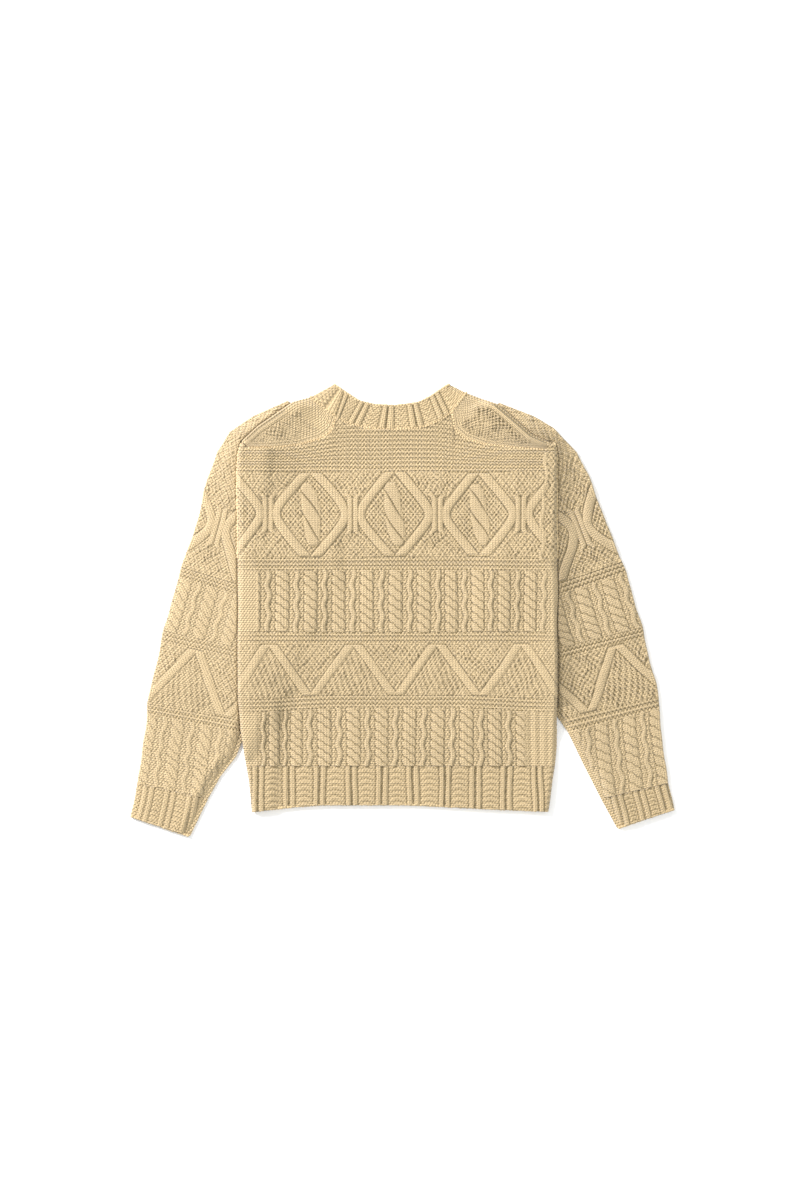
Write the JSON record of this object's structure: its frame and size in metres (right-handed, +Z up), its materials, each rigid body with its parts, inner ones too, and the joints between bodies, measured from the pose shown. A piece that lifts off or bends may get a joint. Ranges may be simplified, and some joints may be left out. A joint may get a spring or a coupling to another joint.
{
  "type": "cable knit sweater",
  "caption": "Crew-neck cable knit sweater with saddle shoulders, laid flat face down: banded back of diamonds, cables and zigzag, ribbed hem, cuffs and neckband.",
  "frame": {"origin": "middle of the sweater's outline, on the surface that it lies on", "axes": "+Z up off the surface, +X across the back from the left sleeve in view to the right one, +Y from the hem towards the neck"},
  "size_m": [0.818, 0.678, 0.0166],
  "materials": {
    "wool_knit": "matte, slightly hairy heavy wool knit in beige, with cables, diamonds, garter ridges and moss stitch",
    "wool_rib": "matte wool rib knit in the same beige"
  },
  "bodies": {
    "root": {"front": "wool_knit", "back": "wool_knit", "hem_rib_front": "wool_rib", "hem_rib_back": "wool_rib", "saddle_left": "wool_knit", "saddle_right": "wool_knit", "neckband": "wool_rib", "sleeve_left": "wool_knit", "cuff_left": "wool_rib", "sleeve_right": "wool_knit", "cuff_right": "wool_rib"}
  },
  "joints": []
}
